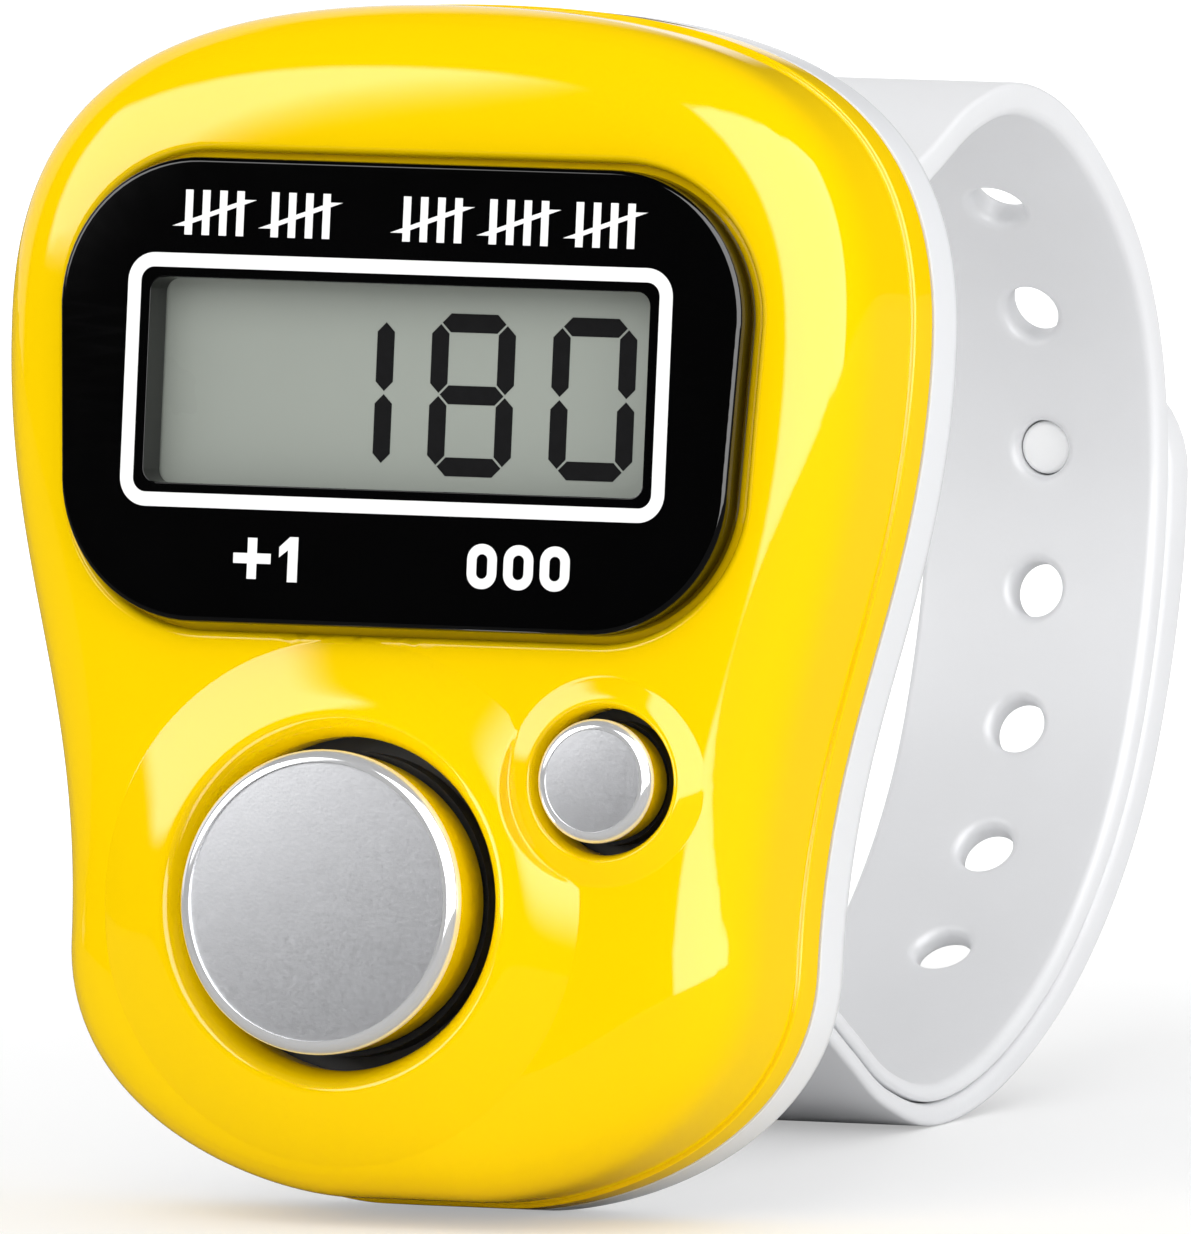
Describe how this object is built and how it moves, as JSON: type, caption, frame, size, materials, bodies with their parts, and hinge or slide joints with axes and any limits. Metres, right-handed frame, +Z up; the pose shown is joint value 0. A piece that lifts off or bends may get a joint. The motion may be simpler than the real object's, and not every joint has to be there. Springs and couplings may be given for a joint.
{
  "type": "digital tally counter",
  "caption": "Finger-worn digital tally counter: rounded case with a display window, a large count button, a small reset button and a soft strap loop with adjustment holes.",
  "frame": {"origin": "middle of the bounding box's base: the surface that the lower end of the body and the underside of the strap stand on", "axes": "+Z up, the front with its display and buttons towards -Y and leaning back by 7.3 degrees, +X to the right as seen from the front"},
  "size_m": [0.0332, 0.0624, 0.0425],
  "materials": {
    "yellow_shell": "high gloss moulded plastic",
    "white_shell": "glossy moulded plastic",
    "white_strap": "soft satin strap",
    "black_panel": "high gloss",
    "lcd_film": "matt polarising film",
    "lcd_glass": "clear",
    "reflector_foil": "matt foil",
    "zebra_rubber": "matt",
    "grey_foam": "foam",
    "board_laminate": "solder mask",
    "black_epoxy": "set resin",
    "bright_steel": "plated steel",
    "satin_chrome": "satin face with a polished rim",
    "dome_rubber": "matt"
  },
  "bodies": {
    "case": {"front_shell": "yellow_shell", "rear_shell": "white_shell", "display_panel": "black_panel", "lcd_polariser": "lcd_film", "lcd_glass": "lcd_glass", "lcd_reflector": "reflector_foil", "zebra_strip": "zebra_rubber", "lcd_support_strip": "grey_foam", "circuit_board": "board_laminate", "controller_blob": "black_epoxy", "battery_cell": "bright_steel", "battery_clip": "bright_steel", "battery_spring": "bright_steel", "count_dome": "dome_rubber", "reset_dome": "dome_rubber", "screw_upper_left": "bright_steel", "screw_upper_right": "bright_steel", "screw_lower_left": "bright_steel", "screw_lower_right": "bright_steel", "strap_upper": "white_strap", "strap_lower": "white_strap"},
    "count": {"count_button": "satin_chrome"},
    "reset": {"reset_button": "satin_chrome"},
    "tip": {"strap_tip": "white_strap"}
  },
  "joints": [
    {"name": "count_press", "type": "slide", "parent": "case", "child": "count", "axis": [0, 0.9919, -0.1271], "range_m": [0, 0.0007], "stiffness_N_per_m": 1200, "deforming": ["count_dome"]},
    {"name": "reset_press", "type": "slide", "parent": "case", "child": "reset", "axis": [0, 0.9919, -0.1271], "range_m": [0, 0.0006], "stiffness_N_per_m": 1200, "deforming": ["reset_dome"]},
    {"name": "strap_tip_flex", "type": "hinge", "parent": "case", "child": "tip", "pos_m": [0, 0.02939, 0.01401], "axis": [-1, 0, 0], "range_deg": [0, 50], "stiffness_Nm_per_rad": 0.02}
  ]
}
